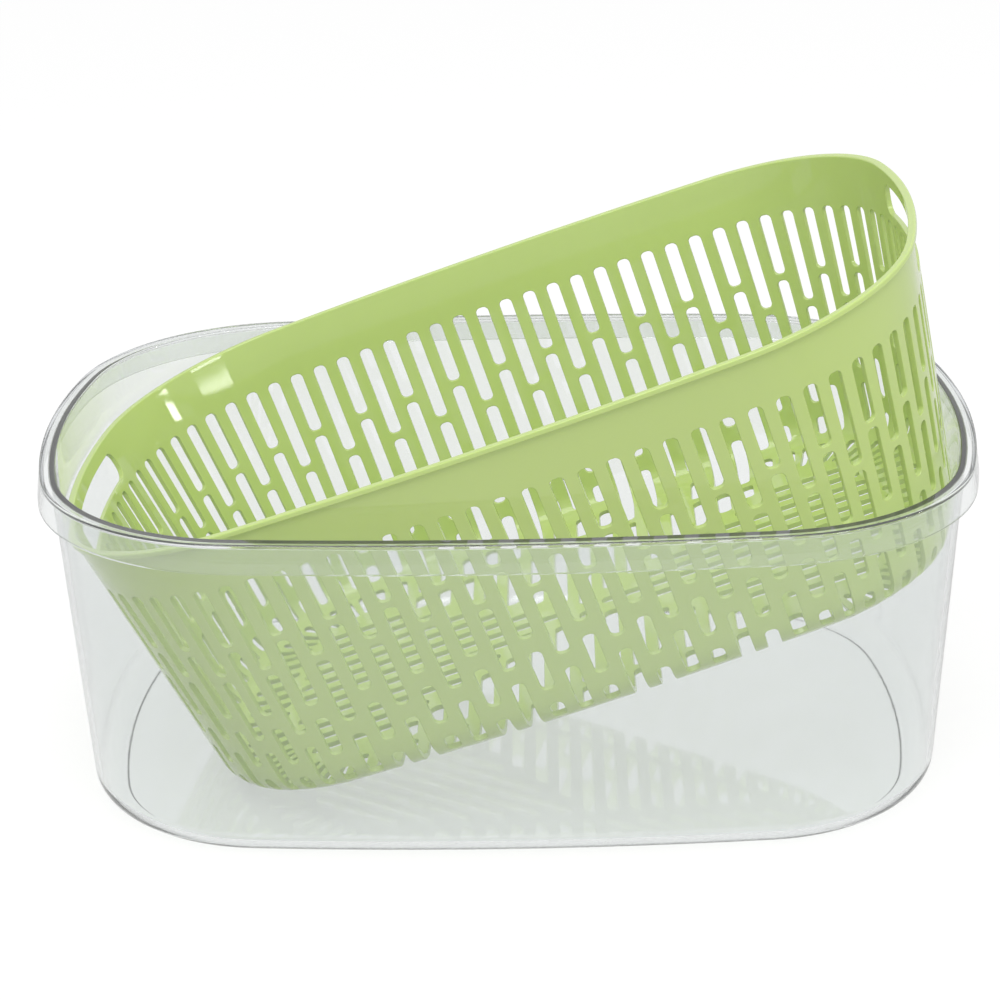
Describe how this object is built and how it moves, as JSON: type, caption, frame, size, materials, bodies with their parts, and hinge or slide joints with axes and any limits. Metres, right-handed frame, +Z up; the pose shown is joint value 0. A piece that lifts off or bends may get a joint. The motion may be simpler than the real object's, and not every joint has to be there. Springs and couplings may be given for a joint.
{
  "type": "food storage container",
  "caption": "Clear rounded tub with a slotted colander basket that leans inside it and lifts out, for washing, draining and keeping produce.",
  "frame": {"origin": "middle of the tub's base, on the surface that it stands on", "axes": "+X along the tub towards the raised end of the basket, +Y across it, +Z up"},
  "size_m": [0.3226, 0.231, 0.1944],
  "materials": {
    "clear_tub": "clear, polished moulding",
    "green_basket": "glossy moulding"
  },
  "bodies": {
    "tub": {"tub": "clear_tub"},
    "basket": {"basket": "green_basket"}
  },
  "joints": [
    {"name": "basket_lift", "type": "slide", "parent": "tub", "child": "basket", "axis": [0, 0, 1], "range_m": [0, 0.14]}
  ]
}
